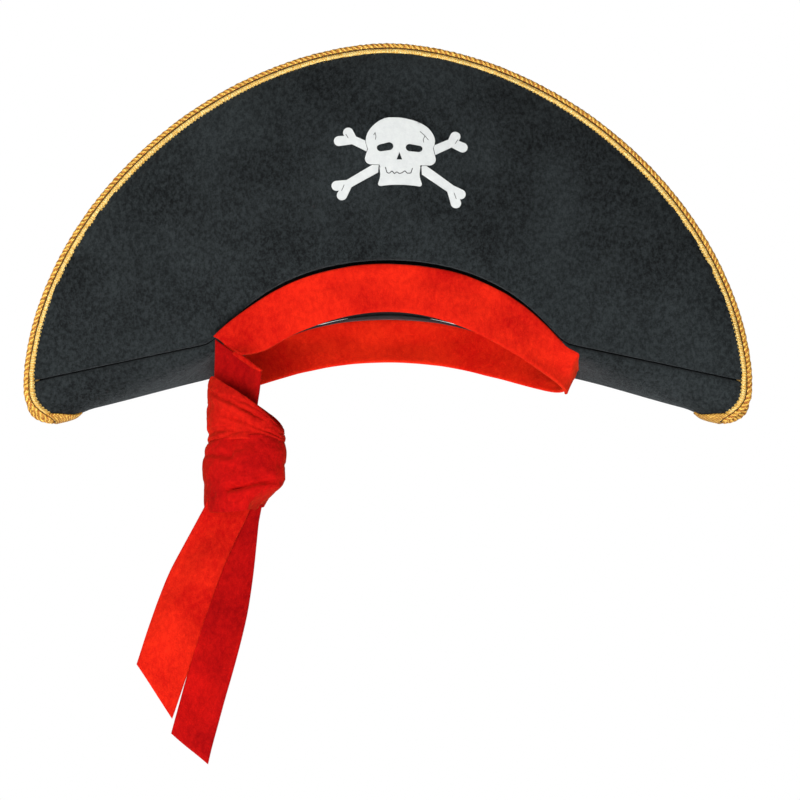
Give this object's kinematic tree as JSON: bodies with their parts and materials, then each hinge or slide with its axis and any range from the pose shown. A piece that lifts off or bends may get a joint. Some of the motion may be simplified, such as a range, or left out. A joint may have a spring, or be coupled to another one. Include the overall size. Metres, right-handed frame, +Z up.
{
  "type": "pirate hat",
  "caption": "Black velvet costume pirate hat with turned-up brim, gold piped edge, red sash with knotted tails, white skull emblem.",
  "frame": {"origin": "centre of the head opening, at the height of the sash's lowest edge at the hat's two sides", "axes": "+Z up towards the crown's top, +X along the hat's width towards the side without the knot, -Y towards the hat's front"},
  "size_m": [0.4818, 0.1544, 0.48],
  "materials": {
    "black_velvet": "brushed short-pile velvet, blue-black",
    "black_velvet_inside": "short-pile velvet on the brim's inner face",
    "foam": "open-cell foam sheet",
    "black_lining": "thin plain-weave lining",
    "gold_bead": "gold metallic cloth over a cord",
    "gold_tape": "gold metallic cloth, stitched and wrinkled",
    "red_velvet": "short-pile velvet, bright red",
    "red_thread": "polyester thread",
    "white_vinyl": "smooth heat-set vinyl",
    "white_satin": "blank satin label"
  },
  "bodies": {
    "root": {"brim_left_velvet": "black_velvet", "brim_left_foam": "foam", "brim_left_lining": "black_velvet_inside", "brim_right_velvet": "black_velvet", "brim_right_foam": "foam", "brim_right_lining": "black_velvet_inside", "gold_bead_left_tip": "gold_bead", "gold_bead_right_tip": "gold_bead", "gold_tape_left_tip": "gold_tape", "gold_tape_right_tip": "gold_tape", "crown_front": "black_velvet", "crown_back": "black_velvet", "crown_lining_front": "black_lining", "crown_lining_back": "black_lining", "crown_seam_tape": "black_lining", "opening_seam_tape": "black_lining", "care_label": "white_satin", "sash_front": "red_velvet", "sash_back": "red_velvet", "sash_drop": "red_velvet", "sash_side_stitches": "red_thread"},
    "front_flap": {"brim_front_velvet": "black_velvet", "brim_front_foam": "foam", "brim_front_lining": "black_velvet_inside", "gold_bead_front": "gold_bead", "gold_tape_front": "gold_tape", "skull_patch": "white_vinyl", "bone_upper_left": "white_vinyl", "bone_upper_right": "white_vinyl", "bone_lower_left": "white_vinyl", "bone_lower_right": "white_vinyl"},
    "back_flap": {"brim_back_velvet": "black_velvet", "brim_back_foam": "foam", "brim_back_lining": "black_velvet_inside", "gold_bead_back": "gold_bead", "gold_tape_back": "gold_tape"},
    "neck": {"sash_neck": "red_velvet"},
    "knot": {"knot_upper_wrap": "red_velvet", "knot_main_wrap": "red_velvet", "knot_core": "red_velvet"},
    "tail_front": {"tail_front": "red_velvet"},
    "tail_rear": {"tail_rear": "red_velvet"}
  },
  "joints": [
    {"name": "front_flap_flex", "type": "hinge", "parent": "root", "child": "front_flap", "pos_m": [0, -0.04, 0.038], "axis": [1, 0, 0], "range_deg": [-3, 6], "stiffness_Nm_per_rad": 0.6},
    {"name": "back_flap_flex", "type": "hinge", "parent": "root", "child": "back_flap", "pos_m": [0, 0.04, 0.038], "axis": [-1, 0, 0], "range_deg": [-3, 6], "stiffness_Nm_per_rad": 0.6},
    {"name": "knot_swing", "type": "hinge", "parent": "root", "child": "neck", "pos_m": [-0.0982, -0.0448, -0.0054], "axis": [-0.9397, 0.342, 0], "range_deg": [-20, 40]},
    {"name": "knot_sway", "type": "hinge", "parent": "neck", "child": "knot", "pos_m": [-0.0982, -0.0448, -0.0174], "axis": [0.342, 0.9397, 0], "range_deg": [-5, 5]},
    {"name": "tail_front_swing", "type": "hinge", "parent": "knot", "child": "tail_front", "pos_m": [-0.105, -0.05, -0.101], "axis": [-1, 0, 0], "range_deg": [0, 50]},
    {"name": "tail_rear_swing", "type": "hinge", "parent": "knot", "child": "tail_rear", "pos_m": [-0.097, -0.044, -0.101], "axis": [1, 0, 0], "range_deg": [0, 50]}
  ]
}
